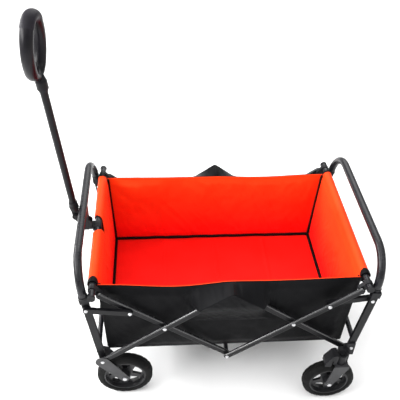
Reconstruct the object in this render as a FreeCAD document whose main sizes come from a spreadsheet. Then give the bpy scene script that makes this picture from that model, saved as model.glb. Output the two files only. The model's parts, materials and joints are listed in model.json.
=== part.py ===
import FreeCAD, Part
import math
import os
import Sketcher
from FreeCAD import Placement, Rotation, Vector

# Folding camp wagon, millimetres. +Z is up and the ground is z = 0. -X is the handle end, called
# front, and +X is the caster end, called rear. X = 0 is midway between the two feet. Left is -Y.

SIZES = {
    # folding frame: crossing flat bars, one layer outside the other
    "bar_half": 246, "bar_angle": 37.2, "foot_height": 180,
    "bar_width": 20, "bar_thick": 10, "outer_layer": 294, "inner_layer": 281,
    "rim_arm": 232, "link_arm": 126, "link_width": 18,
    "rivet_radius": 3, "rivet_play": 0.06, "head_radius": 6, "head_height": 2.5,
    "tie_radius": 7, "tie_wall": 1.5,
    # end frames
    "leg_lean": 7, "leg_width": 22, "leg_thick": 10, "link_height": 246, "leg_stub": 28,
    "hoop_radius": 12.5, "hoop_wall": 1.5, "hoop_bend": 98, "hoop_top": 566, "hoop_start": 40,
    "front_hoop_half": 281, "rear_hoop_half": 285, "collar_radius": 14.5, "collar_height": 8,
    "collar_skirt": 22, "collar_wall": 3, "collar_clear": 0.6,
    "crosspiece_radius": 8, "crosspiece_up": 60,
    # rim
    "rim_out": 20, "rim_up": 16, "rim_radius": 10, "rim_wall": 1.5, "rim_half": 301,
    "cap_radius": 11.5, "cap_length": 6, "plug_length": 12,
    "fitting_radius": 12.5, "fitting_tail": 9, "fitting_thick": 12.5, "fitting_clear": 0.5,
    # basket
    "basket_half": 374, "basket_width": 504, "fabric_thick": 3, "floor_height": 187.5,
    "floor_thick": 3.5, "sleeve_radius": 13, "sleeve_half": 250, "sleeve_gap": 20,
    "fabric_clear": 0.5, "tube_clear": 0.3, "wall_knee": 17.7, "wall_knee_drop": 22,
    # fixed wheels
    "front_radius": 89, "front_wheel_y": 278, "wheel_width": 40, "axle_radius": 4,
    "axle_back": 64.8, "rim_ratio": 0.75, "boss_radius": 17, "plate_thick": 2.6, "axle_head": 7,
    "head_thick": 4, "nut_thick": 5, "tread_edge": 8, "bead_edge": 5, "tyre_chamfer": 3,
    "tread_flat": 9, "tread_drop": 2.5, "web_half": 4, "hub_lip": 4, "hub_rim": 5,
    "opening_margin": 9, "opening_start": 25, "openings": 5,
    "fork_top_radius": 22, "fork_low_radius": 15, "plate_clear": 0.3, "spacer_radius": 8,
    # casters
    "rear_radius": 84, "caster_x": 362, "caster_y": 328, "trail": 28,
    "crown_thick": 3.5, "crown_gap": 2, "crown_length": 44, "caster_top_radius": 24,
    "caster_low_radius": 13, "wheel_clear": 0.4, "stem_radius": 6, "stem_head": 2,
    "washer_radius": 10, "washer_thick": 3, "washer_clear": 0.4,
    "boss_outer": 16, "housing_top": 214, "housing_clear": 0.6, "web_length": 30,
    "flange_length": 36, "flange_thick": 5, "flange_rise": 16,
    # brake pedals
    "pedal_hinge_x": 338, "pedal_hinge_z": 186, "lug_radius": 6, "lug_reach": 16, "lug_width": 14,
    "pedal_width": 34, "cheek_width": 9.5, "cheek_length": 12, "cheek_low": 5, "cheek_height": 21,
    # handle
    "handle_x": -465, "handle_z": 535, "handle_lean": 5.2, "ear_gap": 8, "ear_thick": 5,
    "pole_radius": 11, "pole_wall": 1.5, "pole_start": 26, "pole_top": 444, "inner_start": 130,
    "slide_play": 0.08, "yoke_radius": 13.5, "yoke_top": 52,
    "ring_width": 94, "ring_height": 161, "ring_end": 36, "ring_deep": 35, "ring_thick": 28,
    "ring_turn": -10.5, "ring_tilt": 9, "ring_shift": 4, "ring_centre": 567, "sleeve_skin": 1,
    "neck_radius": 16, "neck_height": 22, "neck_gap": 2, "shoulder_radius": 11,
    "shoulder_height": 20, "bush_wall": 1.5, "bush_height": 6, "inner_show": 18,
    "tongue_radius": 10, "tongue_play": 0.4, "collar_low": 22, "flare_up": 30, "flare_height": 7,
    "flare_wall": 1.5,
    # handle bracket
    "arm_z": 489, "arm_radius": 13, "arm_socket": 12, "cradle_radius": 17, "cradle_back": 15,
    "cradle_lip": 12, "cradle_low": 3, "channel_play": 0.5, "post_width": 24, "post_low": 8,
    "ear_reach": 46, "ear_drop": 42, "ear_end": 11, "ear_root": 14,
}

DOC = FreeCAD.newDocument("camp_wagon")
SHEET = DOC.addObject("Spreadsheet::Sheet", "Sizes")
for LINE, (ALIAS, VALUE) in enumerate(SIZES.items(), start=1):
    SHEET.set(f"A{LINE}", ALIAS)
    SHEET.set(f"B{LINE}", str(VALUE))
    SHEET.setAlias(f"B{LINE}", ALIAS)
DOC.recompute()


def size(alias):
    """The value of a named cell."""
    return float(SHEET.get(alias))


def turned(point, degrees):
    """A point of the XZ plane turned about the origin, from +X towards +Z."""
    a = math.radians(degrees)
    x, z = point
    return x * math.cos(a) - z * math.sin(a), x * math.sin(a) + z * math.cos(a)


# Key points of the front half in the XZ plane. The rear half mirrors them.
ANGLE = size("bar_angle")
HALF = size("bar_half")
LEAN = size("leg_lean")
SPAN = 2 * HALF * math.cos(math.radians(ANGLE))
RISE = 2 * HALF * math.sin(math.radians(ANGLE))
FOOT = (-SPAN, size("foot_height"))
CROSS = (-SPAN / 2, size("foot_height") + RISE / 2)
TOP = (0, size("foot_height") + RISE)
BOTTOM = (0, size("foot_height"))


def on_rim_bar(arm):
    """The point of the front rim bar at a distance from its crossing, towards the rim."""
    dx, dz = turned((arm, 0), 180 - ANGLE)
    return CROSS[0] + dx, CROSS[1] + dz


def on_leg(up):
    """The point of the front leg's centre line at a distance above the foot."""
    dx, dz = turned((up, 0), 90 + LEAN)
    return FOOT[0] + dx, FOOT[1] + dz


RIM_PIVOT = on_rim_bar(size("rim_arm"))
CROSSBAR = (RIM_PIVOT[0] - size("rim_out"), RIM_PIVOT[1] + size("rim_up"))
LINK_BAR = on_rim_bar(size("link_arm"))
LINK_LEG = on_leg(size("link_height"))
HOOP_RISE = (size("hoop_top") - FOOT[1]) / math.cos(math.radians(LEAN))
LINK_LENGTH = math.dist(LINK_LEG, LINK_BAR)
AXLE = (FOOT[0] + size("axle_back"), size("front_radius"))
ENDS = {"front": -1, "rear": 1}
SIDES = {"left": -1, "right": 1}
OUTER = size("outer_layer")
INNER = size("inner_layer")
BAR = size("bar_thick")
OUT_FACE = OUTER + BAR / 2
IN_FACE = INNER - BAR / 2


def mirrored(point, end):
    """A front point of the XZ plane, moved to the end asked for."""
    return (point[0] if end == "front" else -point[0]), point[1]


# ---- helpers that make document objects ----------------------------------------------------

def bind(thing, **expressions):
    """Bind properties to sheet expressions."""
    for name, expression in expressions.items():
        thing.setExpression(name, expression)
    return thing


def cells(expression):
    """An expression in which bare aliases stand for cells of the sheet."""
    for alias in sorted(SIZES, key=len, reverse=True):
        expression = expression.replace("<" + alias + ">", "Sizes." + alias)
    return expression


def origin_plane(body, role):
    """One of a body's own origin planes or axes."""
    return next(f for f in body.Origin.OriginFeatures if f.Role == role)


def new_body(name):
    return DOC.addObject("PartDesign::Body", name)


def new_sketch(body, role, name):
    sketch = body.newObject("Sketcher::SketchObject", name)
    sketch.AttachmentSupport = [(origin_plane(body, role), "")]
    sketch.MapMode = "FlatFace"
    return sketch


def pin(sketch, geometry, vertex, x, z):
    """Hold a vertex at a place that sheet expressions give."""
    for kind, expression, axis in (("DistanceX", x, -2), ("DistanceY", z, -1)):
        value = float(sketch.evalExpression(cells(expression)))
        if abs(value) < 1e-9:
            sketch.addConstraint(Sketcher.Constraint("PointOnObject", geometry, vertex, axis))
            continue
        index = sketch.addConstraint(
            Sketcher.Constraint(kind, -1, 1, geometry, vertex, value))
        sketch.setExpression(f"Constraints[{index}]", cells(expression))


def draw_circle(sketch, x, z, radius):
    value = [float(sketch.evalExpression(cells(e))) for e in (x, z, radius)]
    circle = Part.Circle(Vector(value[0], value[1], 0), Vector(0, 0, 1), value[2])
    geometry = sketch.addGeometry(circle)
    index = sketch.addConstraint(Sketcher.Constraint("Radius", geometry, value[2]))
    sketch.setExpression(f"Constraints[{index}]", cells(radius))
    pin(sketch, geometry, 3, x, z)
    return geometry


def draw_outline(sketch, corners):
    """A closed outline of straight lines through corners given as expressions."""
    value = [[float(sketch.evalExpression(cells(e))) for e in corner] for corner in corners]
    lines = []
    for a, b in zip(value, value[1:] + value[:1]):
        lines.append(sketch.addGeometry(Part.LineSegment(Vector(*a, 0), Vector(*b, 0))))
    for one, two in zip(lines, lines[1:] + lines[:1]):
        sketch.addConstraint(Sketcher.Constraint("Coincident", one, 2, two, 1))
    for line, corner in zip(lines, corners):
        pin(sketch, line, 1, *corner)


def draw_link(sketch, start, end, start_radius, end_radius):
    """The outline of a flat bar along X with round ends at start and end."""
    x0, x1, r0, r1 = (float(sketch.evalExpression(cells(e)))
                      for e in (start, end, start_radius, end_radius))
    slant = math.acos((r0 - r1) / (x1 - x0))
    up = Vector(math.cos(slant), math.sin(slant), 0)
    down = Vector(up.x, -up.y, 0)
    p0, p1 = Vector(x0, 0, 0), Vector(x1, 0, 0)
    back = sketch.addGeometry(Part.Arc(p0 + up * r0, p0 - Vector(r0, 0, 0), p0 + down * r0))
    front = sketch.addGeometry(Part.Arc(p1 + down * r1, p1 + Vector(r1, 0, 0), p1 + up * r1))
    low = sketch.addGeometry(Part.LineSegment(p0 + down * r0, p1 + down * r1))
    high = sketch.addGeometry(Part.LineSegment(p1 + up * r1, p0 + up * r0))
    for one, first, two, second in ((back, 2, low, 1), (low, 2, front, 1),
                                    (front, 2, high, 1), (high, 2, back, 1)):
        sketch.addConstraint(Sketcher.Constraint("Tangent", one, first, two, second))
    for arc, place, radius, value in ((back, start, start_radius, r0),
                                      (front, end, end_radius, r1)):
        index = sketch.addConstraint(Sketcher.Constraint("Radius", arc, value))
        sketch.setExpression(f"Constraints[{index}]", cells(radius))
        pin(sketch, arc, 3, place, "0")


def pad(body, sketch, length):
    """A pad of equal depth on both sides of its sketch."""
    feature = body.newObject("PartDesign::Pad", sketch.Name + "_pad")
    feature.Profile = sketch
    feature.Midplane = True
    bind(feature, Length=cells(length))
    return feature


def flat_bar(name, start, end, start_radius, end_radius, holes, thick):
    """A flat bar in the XZ plane with round ends and rivet holes, thick along Y."""
    body = new_body(name)
    sketch = new_sketch(body, "XZ_Plane", name + "_outline")
    draw_link(sketch, start, end, start_radius, end_radius)
    for place in holes:
        draw_circle(sketch, place, "0", "<rivet_radius> + <rivet_play>")
    pad(body, sketch, thick)
    return body


def cylinder(name, radius, height):
    rod = DOC.addObject("Part::Cylinder", name)
    return bind(rod, Radius=cells(radius), Height=cells(height))


def box(name, length, width, height):
    block = DOC.addObject("Part::Box", name)
    return bind(block, Length=cells(length), Width=cells(width), Height=cells(height))


def fused(name, *parts):
    joined = DOC.addObject("Part::MultiFuse", name)
    joined.Shapes = list(parts)
    return joined


def cut(name, base, *tools):
    tool = tools[0] if len(tools) == 1 else fused(name + "_tools", *tools)
    left = DOC.addObject("Part::Cut", name)
    left.Base = base
    left.Tool = tool
    return left


def tube(name, radius, wall, height):
    return cut(name, cylinder(name + "_outside", radius, height),
               cylinder(name + "_inside", f"{radius} - ({wall})", height))


ALONG_Y = Rotation(Vector(1, 0, 0), -90)
ALONG_X = Rotation(Vector(0, 1, 0), 90)


def at(thing, x, y, z, rotation=Rotation()):
    thing.Placement = Placement(Vector(x, y, z), rotation)
    return thing


def in_plane(degrees):
    """The rotation that turns +X towards +Z in the XZ plane."""
    return Rotation(Vector(0, 1, 0), -degrees)


NODES = {}


def node(name, *things):
    """Name a sub-part. Several separate things become one sub-part of separate solids."""
    if len(things) == 1:
        things[0].Label = name
        NODES[name] = things[0]
        return things[0]
    group = DOC.addObject("Part::Compound", name + "_group")
    group.Links = list(things)
    group.Label = name
    NODES[name] = group
    return group


# ---- folding bars --------------------------------------------------------------------------

def layer_of(kind, end):
    """The layer, as a distance from the middle plane, that a bar of a kind is in."""
    outside = {("foot_bar", "front"), ("link", "front"), ("rim_bar", "rear"), ("leg", "rear")}
    return OUTER if (kind, end) in outside else INNER


def make_bars():
    half = "<bar_width> / 2"
    for end in ENDS:
        for side, sign in SIDES.items():
            bar = flat_bar(f"{end}_{side}_foot_bar", "-<bar_half>", "<bar_half>", half, half,
                           ("-<bar_half>", "0", "<bar_half>"), "<bar_thick>")
            x, z = mirrored(CROSS, end)
            angle = ANGLE if end == "front" else 180 - ANGLE
            node(bar.Name, at(bar, x, sign * layer_of("foot_bar", end), z, in_plane(angle)))
            bar = flat_bar(f"{end}_{side}_rim_bar", "-<bar_half>", "<rim_arm>", half, half,
                           ("-<bar_half>", "0", "<link_arm>", "<rim_arm>"), "<bar_thick>")
            angle = 180 - ANGLE if end == "front" else ANGLE
            node(bar.Name, at(bar, x, sign * layer_of("rim_bar", end), z, in_plane(angle)))


def make_links():
    """A short link joins each leg to a rim bar, so the legs stay upright as the bars fold."""
    half = "<link_width> / 2"
    length = str(LINK_LENGTH)
    slope = math.degrees(math.atan2(LINK_BAR[1] - LINK_LEG[1], LINK_BAR[0] - LINK_LEG[0]))
    for end in ENDS:
        links = []
        for side, sign in SIDES.items():
            link = flat_bar(f"{end}_{side}_link", "0", length, half, half, ("0", length),
                            "<bar_thick>")
            x, z = mirrored(LINK_LEG, end)
            angle = slope if end == "front" else 180 - slope
            links.append(at(link, x, sign * layer_of("link", end), z, in_plane(angle)))
        node(f"{end}_links", *links)


def rivet(name, low, high, low_head, high_head):
    """A rivet along Y from low to high, with a domed head at each end that has one."""
    shank = cylinder(name + "_shank", "<rivet_radius>", str(high - low))
    parts = [at(shank, 0, low, 0, ALONG_Y)]
    for wanted, y, way in ((low_head, low, -1), (high_head, high, 1)):
        if wanted:
            dome = DOC.addObject("Part::Cone", name + ("_low" if way < 0 else "_high"))
            bind(dome, Radius1=cells("<head_radius>"), Radius2=cells("<head_radius> * 0.6"),
                 Height=cells("<head_height>"))
            turn = ALONG_Y if way > 0 else Rotation(Vector(1, 0, 0), 90)
            parts.append(at(dome, 0, y, 0, turn))
    return fused(name, *parts) if len(parts) > 1 else shank


def rivets(name, places):
    """One sub-part of rivets: each place is (point, inner y, outer y, inner head, outer head)."""
    made = []
    for count, (point, inner, outer, inner_head, outer_head) in enumerate(places):
        for side, sign in SIDES.items():
            low, high = sorted((sign * inner, sign * outer))
            heads = (inner_head, outer_head) if sign > 0 else (outer_head, inner_head)
            piece = rivet(f"{name}_{count}_{side}", low, high, *heads)
            made.append(at(piece, point[0], 0, point[1]))
    node(name, *made)


def make_rivets():
    rear = {key: mirrored(point, "rear") for key, point in
            {"cross": CROSS, "foot": FOOT, "link_leg": LINK_LEG, "link_bar": LINK_BAR}.items()}
    plate_out = OUT_FACE + size("plate_clear") + size("plate_thick")
    fork_in = fork_inside() - size("plate_thick")
    rivets("front_rivets", [(FOOT, fork_in, plate_out, True, True),
                            (LINK_LEG, IN_FACE, OUT_FACE, True, True)])
    rivets("rear_rivets", [(rear["foot"], IN_FACE, OUT_FACE, True, False),
                           (rear["link_leg"], IN_FACE, OUT_FACE, True, True)])
    rivets("front_foot_bar_rivets", [(CROSS, IN_FACE, OUT_FACE, True, True),
                                     (TOP, IN_FACE, OUT_FACE, True, True)])
    rivets("rear_foot_bar_rivets", [(rear["cross"], IN_FACE, OUT_FACE, True, True)])
    rivets("rim_bar_rivets", [(BOTTOM, IN_FACE + 2, OUT_FACE, False, True)])
    rivets("front_link_rivets", [(LINK_BAR, OUTER - BAR / 2, OUT_FACE, False, True)])
    rivets("rear_link_rivets", [(rear["link_bar"], IN_FACE, IN_FACE + BAR, True, False)])


def make_tie_tube():
    """The cross tube that joins the two front rim bars under the middle of the floor."""
    length = 2 * IN_FACE
    tie = tube("bottom_cross_tube", "<tie_radius>", "<tie_wall>", str(length))
    node("bottom_cross_tube", at(tie, BOTTOM[0], -IN_FACE, BOTTOM[1], ALONG_Y))


# ---- end frames ----------------------------------------------------------------------------

def make_hoop(end):
    """A round tube bent to an upside-down U, swept along its own bent centre line."""
    name = f"{end}_hoop"
    half = f"<{end}_hoop_half>"
    start = "<link_height> + <hoop_start>"
    body = new_body(name)
    path = new_sketch(body, "YZ_Plane", name + "_path")
    w, r, z0, z1 = (size(f"{end}_hoop_half"), size("hoop_bend"),
                    size("link_height") + size("hoop_start"), HOOP_RISE)
    assert z0 < z1 - r, "the hoop's bends start above its ends"
    k = r * (1 - math.sqrt(0.5))
    runs = [Part.LineSegment(Vector(-w, z0, 0), Vector(-w, z1 - r, 0)),
            Part.Arc(Vector(-w, z1 - r, 0), Vector(-w + k, z1 - k, 0), Vector(r - w, z1, 0)),
            Part.LineSegment(Vector(r - w, z1, 0), Vector(w - r, z1, 0)),
            Part.Arc(Vector(w - r, z1, 0), Vector(w - k, z1 - k, 0), Vector(w, z1 - r, 0)),
            Part.LineSegment(Vector(w, z1 - r, 0), Vector(w, z0, 0))]
    ids = [path.addGeometry(g) for g in runs]
    # an arc drawn the short way round keeps its start and end in sketch order
    joins = [(0, 2, 1, 2), (1, 1, 2, 1), (2, 2, 3, 2), (3, 1, 4, 1)]
    for a, first, b, second in joins:
        path.addConstraint(Sketcher.Constraint("Tangent", ids[a], first, ids[b], second))
    path.addConstraint(Sketcher.Constraint("Vertical", ids[0]))
    path.addConstraint(Sketcher.Constraint("Horizontal", ids[2]))
    path.addConstraint(Sketcher.Constraint("Vertical", ids[4]))
    for arc in (ids[1], ids[3]):
        index = path.addConstraint(Sketcher.Constraint("Radius", arc, r))
        path.setExpression(f"Constraints[{index}]", "Sizes.hoop_bend")
    pin(path, ids[0], 1, "-" + half, start)
    pin(path, ids[4], 2, half, start)
    index = path.addConstraint(Sketcher.Constraint("DistanceY", -1, 1, ids[2], 1, z1))
    path.setExpression(f"Constraints[{index}]",
                       cells("(<hoop_top> - <foot_height>) / cos(<leg_lean> * 1 deg)"))
    section = new_sketch(body, "XY_Plane", name + "_section")
    section.AttachmentOffset = Placement(Vector(0, 0, z0), Rotation())
    section.setExpression("AttachmentOffset.Base.z", cells(start))
    draw_circle(section, "0", "-" + half, "<hoop_radius>")
    draw_circle(section, "0", "-" + half, "<hoop_radius> - <hoop_wall>")
    DOC.recompute()
    pipe = body.newObject("PartDesign::AdditivePipe", name + "_pipe")
    pipe.Profile = section
    pipe.Spine = (path, [])
    x, z = mirrored(FOOT, end)
    lean = LEAN if end == "front" else -LEAN
    node(name, at(body, x, 0, z, in_plane(lean)))


def leg_point(end, up):
    return mirrored(on_leg(up), end)


def make_legs(end):
    legs, collars = [], []
    up = "<link_height> + <leg_stub>"
    lean = 90 + LEAN if end == "front" else 90 - LEAN
    for side, sign in SIDES.items():
        leg = flat_bar(f"{end}_{side}_leg", "0", up, "<leg_width> / 2", "<leg_width> / 2",
                       ("0", "<link_height>"), "<leg_thick>")
        x, z = mirrored(FOOT, end)
        legs.append(at(leg, x, sign * layer_of("leg", end), z, in_plane(lean)))
        collars.append(make_collar(end, side, sign))
    node(f"{end}_lower_legs", *legs)
    node(f"{end}_hoop_collars", *collars)


def make_collar(end, side, sign):
    """The moulded collar in which a round hoop end and a flat leg meet."""
    name = f"{end}_{side}_collar"
    layer, link_y = layer_of("leg", end), layer_of("link", end)
    hoop_y = sign * size(f"{end}_hoop_half")
    seat = size("link_height") + size("hoop_start")
    foot = seat - size("collar_skirt")
    top = cylinder(name + "_top", "<collar_radius>", "<collar_height>")
    at(top, 0, hoop_y, seat)
    # the skirt stays out of the layer that the link swings in
    wall, clear = size("collar_wall"), size("collar_clear")
    if link_y > layer:
        low, high = layer - BAR / 2 - wall, link_y - BAR / 2 - clear
    else:
        low, high = link_y + BAR / 2 + clear, layer + BAR / 2 + wall
    skirt = box(name + "_skirt", "<leg_width> + 2 * <collar_wall>", str(high - low),
                "<collar_skirt>")
    at(skirt, -size("leg_width") / 2 - wall, min(sign * low, sign * high), foot)
    slot = box(name + "_slot", "<leg_width>", "<leg_thick>", "<collar_skirt>")
    at(slot, -size("leg_width") / 2, sign * layer - BAR / 2, foot)
    bore = cylinder(name + "_bore", "<hoop_radius> + <rivet_play>", "<collar_height>")
    at(bore, 0, hoop_y, seat)
    collar = cut(name, fused(name + "_body", top, skirt), slot, bore)
    x, z = mirrored(FOOT, end)
    return at(collar, x, 0, z, in_plane(LEAN if end == "front" else -LEAN))


def make_crosspiece(end):
    x, z = leg_point(end, size("crosspiece_up"))
    half = layer_of("leg", end) - BAR / 2
    piece = tube(f"{end}_crosspiece", "<crosspiece_radius>", "<tie_wall>", str(2 * half))
    node(f"{end}_crosspiece", at(piece, x, -half, z, ALONG_Y))


# ---- rim -----------------------------------------------------------------------------------

def make_rim(end):
    x, z = mirrored(CROSSBAR, end)
    half = size("rim_half")
    bar = tube(f"{end}_crossbar", "<rim_radius>", "<rim_wall>", "2 * <rim_half>")
    node(f"{end}_crossbar", at(bar, x, -half, z, ALONG_Y))
    pieces = []
    for side, sign in SIDES.items():
        cap = cylinder(f"{end}_{side}_cap", "<cap_radius>", "<cap_length>")
        plug = cylinder(f"{end}_{side}_plug", "<rim_radius> - <rim_wall>", "<plug_length>")
        y = half if sign > 0 else -half - size("cap_length")
        at(cap, x, y, z, ALONG_Y)
        at(plug, x, half - size("plug_length") if sign > 0 else -half, z, ALONG_Y)
        pieces.append(fused(f"{end}_{side}_end_cap", cap, plug))
        pieces.append(make_fitting(end, side, sign))
    node(f"{end}_corner_fittings", *pieces)


def make_fitting(end, side, sign):
    """The moulded fitting on the crossbar, with the pin that the rim bar turns on."""
    name = f"{end}_{side}_fitting"
    thick, clear = size("fitting_thick"), size("fitting_clear")
    inner = layer_of("rim_bar", end) - BAR / 2 - clear - thick
    body = new_body(name + "_body")
    sketch = new_sketch(body, "XZ_Plane", name + "_outline")
    draw_link(sketch, "0", "sqrt(<rim_out> ^ 2 + <rim_up> ^ 2)", "<fitting_radius>",
              "<fitting_tail>")
    draw_circle(sketch, "0", "0", "<rim_radius>")
    pad(body, sketch, "<fitting_thick>")
    slope = math.degrees(math.atan2(-size("rim_up"), size("rim_out")))
    x, z = mirrored(CROSSBAR, end)
    at(body, x, sign * (inner + thick / 2), z, in_plane(slope if end == "front" else 180 - slope))
    length = thick + BAR + 2 * clear
    shank = cylinder(name + "_pin", "<rivet_radius>",
                     "<fitting_thick> + <bar_thick> + 2 * <fitting_clear>")
    head = cylinder(name + "_head", "<head_radius>", "<head_height>")
    px, pz = mirrored(RIM_PIVOT, end)
    tip = inner + length
    at(shank, px, inner if sign > 0 else -tip, pz, ALONG_Y)
    at(head, px, tip if sign > 0 else -tip - size("head_height"), pz, ALONG_Y)
    return fused(name, body, shank, head)


# ---- basket --------------------------------------------------------------------------------

def make_end_wall(end):
    """The end wall and the sleeve that wraps it round the crossbar."""
    name = f"{end}_end_wall"
    way = ENDS[end]
    x, z = mirrored(CROSSBAR, end)
    sleeve = tube(name + "_sleeve", "<sleeve_radius>",
                  "<sleeve_radius> - <rim_radius> - <tube_clear>", "2 * <sleeve_half>")
    at(sleeve, x, -size("sleeve_half"), z, ALONG_Y)
    body = new_body(name + "_panel")
    sketch = new_sketch(body, "XZ_Plane", name + "_profile")
    low = "<floor_height>"
    # corners of the panel, as (distance from the middle, height), down one face and up the other
    foot = "<basket_half> + <fabric_clear>"
    knee = f"{abs(x)} - <wall_knee>"
    top = f"{abs(x)} - <rim_radius> - <tube_clear>"
    knee_z = f"{z} - <wall_knee_drop>"
    corners = [(foot, low), (f"{foot} + <fabric_thick>", low), (knee, knee_z), (top, str(z)),
               (f"{top} - <fabric_thick>", str(z)), (f"{knee} - <fabric_thick>", knee_z)]
    draw_outline(sketch, [(f"{way} * ({out})", up) for out, up in corners])
    pad(body, sketch, "<basket_width> - 2 * <fabric_thick> - 2 * <fabric_clear>")
    wall = fused(name, body, sleeve)
    if end == "front":
        # the sleeve and the top of the panel are cut away round the cradle of the bracket
        gap = box(name + "_gap", "2 * <sleeve_gap>", "2 * <sleeve_gap>", "2 * <sleeve_gap>")
        at(gap, x - size("sleeve_gap"), -size("sleeve_gap"), z - size("wall_knee_drop"))
        wall = cut(name + "_cut", wall, gap)
    node(name, wall)


def make_soft_sides():
    half, thick = size("basket_half"), size("fabric_thick")
    low = size("floor_height")
    for side, sign in SIDES.items():
        wall = box(f"{side}_side_wall", "2 * <basket_half>", "<fabric_thick>",
                   f"{CROSSBAR[1] - low} - <fabric_thick>")
        y = size("basket_width") / 2 - thick if sign > 0 else -size("basket_width") / 2
        node(f"{side}_side_wall", at(wall, -half, y, low))
    # the floor lies between the walls, clear of them all round
    inset = thick + size("fabric_clear")
    floor = box("basket_floor", "2 * <basket_half>",
                "<basket_width> - 2 * <fabric_thick> - 2 * <fabric_clear>", "<floor_thick>")
    node("basket_floor", at(floor, -half, inset - size("basket_width") / 2, low))


# ---- wheels --------------------------------------------------------------------------------

def revolved(name, corners):
    """A solid turned about the local Y axis from an outline of (y, radius) corners."""
    body = new_body(name)
    sketch = new_sketch(body, "YZ_Plane", name + "_section")
    draw_outline(sketch, corners)
    DOC.recompute()
    turn = body.newObject("PartDesign::Revolution", name + "_turn")
    turn.Profile = sketch
    turn.ReferenceAxis = (sketch, ["H_Axis"])
    turn.Angle = 360
    return body


def make_tyre(name, radius):
    """A solid tyre with chamfered shoulders; its outline runs round one half, then the other."""
    half = "(<wheel_width> / 2 - 1)"
    seat = f"{radius} * <rim_ratio>"
    flank = [(f"{half} - <tyre_chamfer>", seat), (half, f"{seat} + <bead_edge>"),
             (half, f"{radius} - <tread_edge>"),
             (f"{half} - <tyre_chamfer>", f"{radius} - <tread_drop>"),
             (f"{half} - <tread_flat>", radius)]
    return revolved(name, flank + [(f"-1 * ({y})", r) for y, r in reversed(flank)])


def make_hub(name, radius):
    """A moulded hub: a rim, a thin web with five openings, and a boss with the axle bore."""
    half = "<wheel_width> / 2"
    rim = f"{radius} * <rim_ratio>"
    bore = "<axle_radius> + <rivet_play>"
    flank = [(half, bore), (half, "<boss_radius>"), ("<web_half>", "<boss_radius> + 1"),
             ("<web_half>", f"{rim} - <hub_rim>"), (f"{half} - <hub_lip>", f"{rim} - <hub_lip>"),
             (f"{half} - <hub_lip>", rim)]
    body = revolved(name, flank + [(f"-1 * ({y})", r) for y, r in reversed(flank)])
    DOC.recompute()
    solid = body.Shape.Volume
    opening = new_sketch(body, "XZ_Plane", name + "_opening")
    outer = float(opening.evalExpression(cells(f"{rim} - <opening_margin>")))
    wide = outer * math.sin(math.radians(25))
    # half of the wedge, from its inner edge to its rounded outer edge
    wedge = [(size("opening_start") / 4, size("opening_start")), (wide, outer * 0.8),
             (wide * 0.55, outer * 0.96)]
    draw_outline(opening, [(str(x), str(z)) for x, z in wedge]
                 + [(str(-x), str(z)) for x, z in reversed(wedge)])
    DOC.recompute()
    hole = body.newObject("PartDesign::Pocket", name + "_opening_cut")
    hole.Profile = opening
    hole.Midplane = True
    bind(hole, Length=cells("<wheel_width>"))
    DOC.recompute()
    ring = body.newObject("PartDesign::PolarPattern", name + "_openings")
    ring.Originals = [hole]
    ring.Axis = (origin_plane(body, "Y_Axis"), [""])
    ring.Angle = 360
    bind(ring, Occurrences=cells("<openings>"))
    body.Tip = ring
    DOC.recompute()
    if body.Shape.Volume >= solid:
        raise RuntimeError(f"{name} has no openings")
    return body


def fork_inside():
    """The distance from the middle plane to the inner fork plate's wheel side."""
    return size("front_wheel_y") - size("wheel_width") / 2 - 1 - size("plate_clear")


def make_front_wheels():
    plates, bolts = [], []
    drop = math.dist(FOOT, AXLE)
    slope = math.degrees(math.atan2(AXLE[1] - FOOT[1], AXLE[0] - FOOT[0]))
    for side, sign in SIDES.items():
        y = sign * size("front_wheel_y")
        tyre = make_tyre(f"front_{side}_tyre", "<front_radius>")
        node(tyre.Name, at(tyre, AXLE[0], y, AXLE[1]))
        hub = make_hub(f"front_{side}_hub", "<front_radius>")
        node(hub.Name, at(hub, AXLE[0], y, AXLE[1]))
        thick = size("plate_thick")
        outside = OUT_FACE + size("plate_clear")
        for place, distance in (("outer", outside + thick / 2),
                                ("inner", fork_inside() - thick / 2)):
            plate = flat_bar(f"front_{side}_{place}_plate", "0", str(drop),
                             "<fork_top_radius>", "<fork_low_radius>", (), "<plate_thick>")
            holes = []
            for where, radius in ((FOOT, "<rivet_radius>"), (AXLE, "<axle_radius>")):
                hole = cylinder(f"{plate.Name}_{radius[1:4]}", radius + " + <rivet_play>",
                                "2 * <plate_thick>")
                holes.append(at(hole, where[0], sign * distance - thick, where[1], ALONG_Y))
            at(plate, FOOT[0], sign * distance, FOOT[1], in_plane(slope))
            plates.append(cut(plate.Name + "_drilled", plate, *holes))
        spacer = tube(f"front_{side}_spacer", "<spacer_radius>",
                      "<spacer_radius> - <rivet_radius> - <rivet_play>",
                      str(IN_FACE - fork_inside()))
        low = fork_inside() if sign > 0 else -IN_FACE
        plates.append(at(spacer, FOOT[0], low, FOOT[1], ALONG_Y))
        bolts.append(make_bolt(f"front_{side}_axle", AXLE, sign, fork_inside() - thick,
                               outside + thick))
    node("front_forks", *plates)
    node("front_axle_bolts", *bolts)


def make_bolt(name, point, sign, inner, outer):
    """An axle bolt along Y with a head outside and a nut inside."""
    shank = cylinder(name + "_shank", "<axle_radius>", str(outer - inner))
    head = cylinder(name + "_head", "<axle_head>", "<head_thick>")
    nut = DOC.addObject("Part::Prism", name + "_nut")
    nut.Polygon = 6
    bind(nut, Circumradius=cells("<axle_head> + 0.5"), Height=cells("<nut_thick>"))
    x, z = point
    at(shank, x, inner if sign > 0 else -outer, z, ALONG_Y)
    at(head, x, outer if sign > 0 else -outer - size("head_thick"), z, ALONG_Y)
    at(nut, x, inner - size("nut_thick") if sign > 0 else -inner, z, ALONG_Y)
    return fused(name, shank, head, nut)


# ---- casters -------------------------------------------------------------------------------

CROWN_LOW = 2 * size("rear_radius") + size("crown_gap")
CROWN_TOP = CROWN_LOW + size("crown_thick")


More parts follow.
